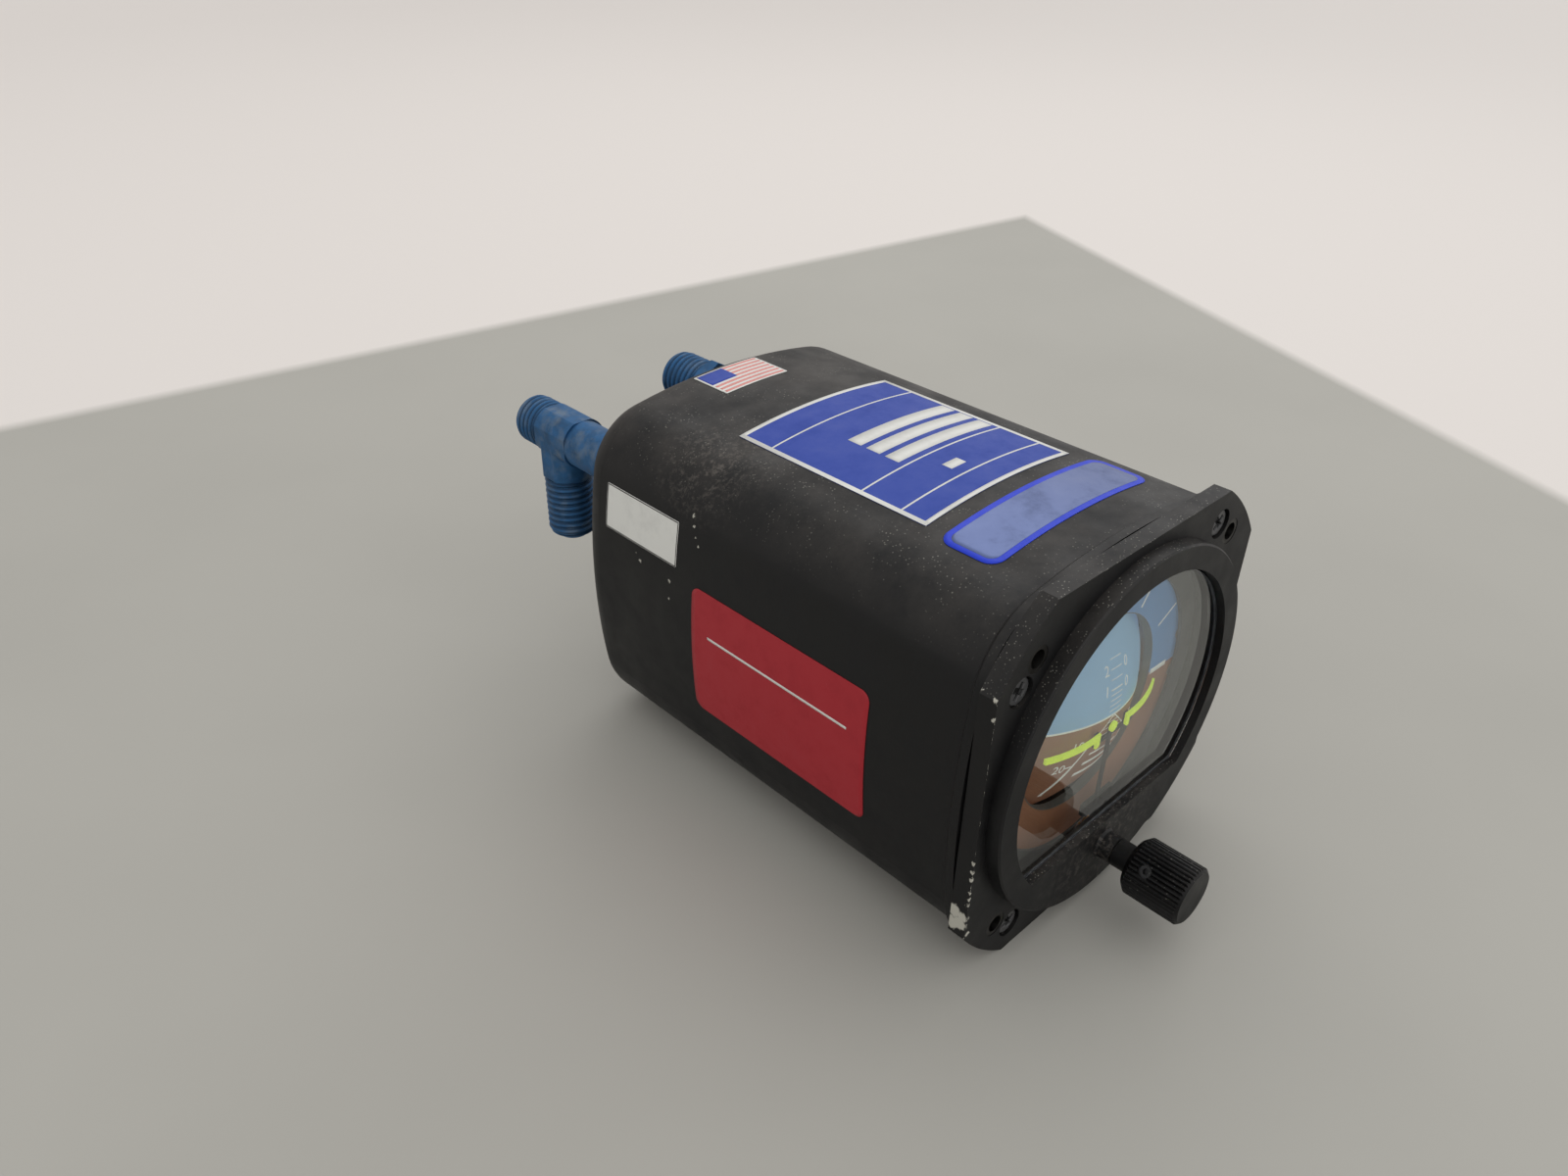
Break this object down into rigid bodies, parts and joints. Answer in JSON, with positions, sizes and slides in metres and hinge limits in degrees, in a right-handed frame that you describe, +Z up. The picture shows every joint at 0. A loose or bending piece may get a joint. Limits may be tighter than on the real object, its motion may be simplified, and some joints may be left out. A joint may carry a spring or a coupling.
{
  "type": "attitude indicator",
  "caption": "Air-driven attitude indicator: square flange, flat window, gimballed gyro with horizon drum, adjustable miniature aircraft, rear air fittings.",
  "frame": {"origin": "centre of the panel bolt pattern on the flange's front face", "axes": "-Y out of the dial towards the pilot, +Y to the rear fittings, +Z up"},
  "size_m": [0.0842, 0.1779, 0.0834],
  "materials": {
    "bezel_paint": "flat black paint on cast aluminium, worn at the edges",
    "case_paint": "flat black paint, dusty",
    "insert_steel": "bare threaded inserts",
    "black_screw": "black oxide steel",
    "gasket_rubber": "matte black rubber",
    "window_seal": "grey sealing strip",
    "window_glass": "clear flat glass",
    "spacer_black": "black anodised",
    "mask_black": "flat black paint",
    "index_white": "white paint",
    "duct_aluminium": "drawn tube",
    "cap_paint": "flat black paint",
    "blue_anodise": "blue anodised, weathered",
    "filter_mesh": "fine wire mesh",
    "bushing_bronze": "oil-filled bronze",
    "steel": "turned steel",
    "knob_black": "black anodised, dusty",
    "brass": "machined brass",
    "slide_black": "black oxide",
    "symbol_lime": "fluorescent yellow-green paint",
    "ring_face": "sky over ground with white bank marks",
    "gimbal_aluminium": "machined casting",
    "bearing_steel": "ground bearing steel",
    "drum_face": "sky over ground with a white pitch ladder",
    "rotor_brass": "balanced brass rotor",
    "vane_metal": "thin sheet"
  },
  "bodies": {
    "case": {"bezel": "bezel_paint", "panel_inserts": "insert_steel", "case_screws": "black_screw", "case_gasket": "gasket_rubber", "case_shell": "case_paint", "window_gasket": "window_seal", "window_glass": "window_glass", "glass_retainer": "spacer_black", "dial_mask": "mask_black", "mask_snap_ring": "spacer_black", "roll_index": "index_white", "air_duct": "duct_aluminium", "rear_cap": "cap_paint", "rear_cap_screws": "black_screw", "tee_fitting": "blue_anodise", "inlet_fitting": "blue_anodise", "inlet_filter": "filter_mesh", "knob_bushing": "bushing_bronze", "slide_guide_pins": "steel", "roll_bearing_front": "bearing_steel", "roll_bearing_rear": "bearing_steel", "bearing_spacer": "bearing_steel"},
    "knob": {"knob": "knob_black", "knob_shaft": "steel", "shaft_clip": "steel", "knob_set_screw": "black_screw", "pinion": "brass"},
    "aircraft": {"symbol_slide": "slide_black", "symbol_bracket": "slide_black", "aircraft_symbol": "symbol_lime"},
    "roll_gimbal": {"roll_gimbal": "gimbal_aluminium", "roll_ring": "ring_face", "ring_screws": "steel", "pitch_stop_pin": "steel", "pitch_bearing_left": "bearing_steel", "pitch_bearing_right": "bearing_steel", "roll_trunnion": "steel", "trunnion_nut": "steel"},
    "gyro": {"horizon_drum": "drum_face", "drum_screws": "steel", "rotor_housing": "gimbal_aluminium", "housing_cover": "gimbal_aluminium", "housing_screws": "steel", "pitch_trunnion_left": "steel", "pitch_trunnion_right": "steel", "air_nozzle": "brass", "rotor_bearing_upper": "bearing_steel", "rotor_bearing_lower": "bearing_steel", "balance_weight": "brass", "weight_studs": "steel", "vane_block": "gimbal_aluminium"},
    "rotor": {"rotor": "rotor_brass", "rotor_shaft": "steel"},
    "vanes_cross": {"vane_pair_cross": "vane_metal"},
    "vanes_fore": {"vane_pair_fore": "vane_metal"}
  },
  "joints": [
    {"name": "roll", "type": "hinge", "parent": "case", "child": "roll_gimbal", "pos_m": [0, 0.03905, 0], "axis": [0, 1, 0], "continuous": true},
    {"name": "pitch", "type": "hinge", "parent": "roll_gimbal", "child": "gyro", "pos_m": [0, 0.03905, 0], "axis": [1, 0, 0], "range_deg": [-60, 60]},
    {"name": "rotor_spin", "type": "hinge", "parent": "gyro", "child": "rotor", "pos_m": [0, 0.03905, 0], "axis": [0, 0, 1], "continuous": true},
    {"name": "vane_cross_swing", "type": "hinge", "parent": "gyro", "child": "vanes_cross", "pos_m": [0, 0.03905, -0.015], "axis": [1, 0, 0], "range_deg": [-20, 20]},
    {"name": "vane_fore_swing", "type": "hinge", "parent": "gyro", "child": "vanes_fore", "pos_m": [0, 0.03905, -0.018], "axis": [0, 1, 0], "range_deg": [-20, 20]},
    {"name": "knob_turn", "type": "hinge", "parent": "case", "child": "knob", "pos_m": [0, -0.014, -0.0288], "axis": [0, -1, 0], "range_deg": [-38, 38]},
    {"name": "aircraft_height", "type": "slide", "parent": "case", "child": "aircraft", "axis": [0, 0, 1], "range_m": [-0.002, 0.002]}
  ],
  "couplings": [
    {"joint": "aircraft_height", "follows": "knob_turn", "m_per_rad": 0.003}
  ]
}
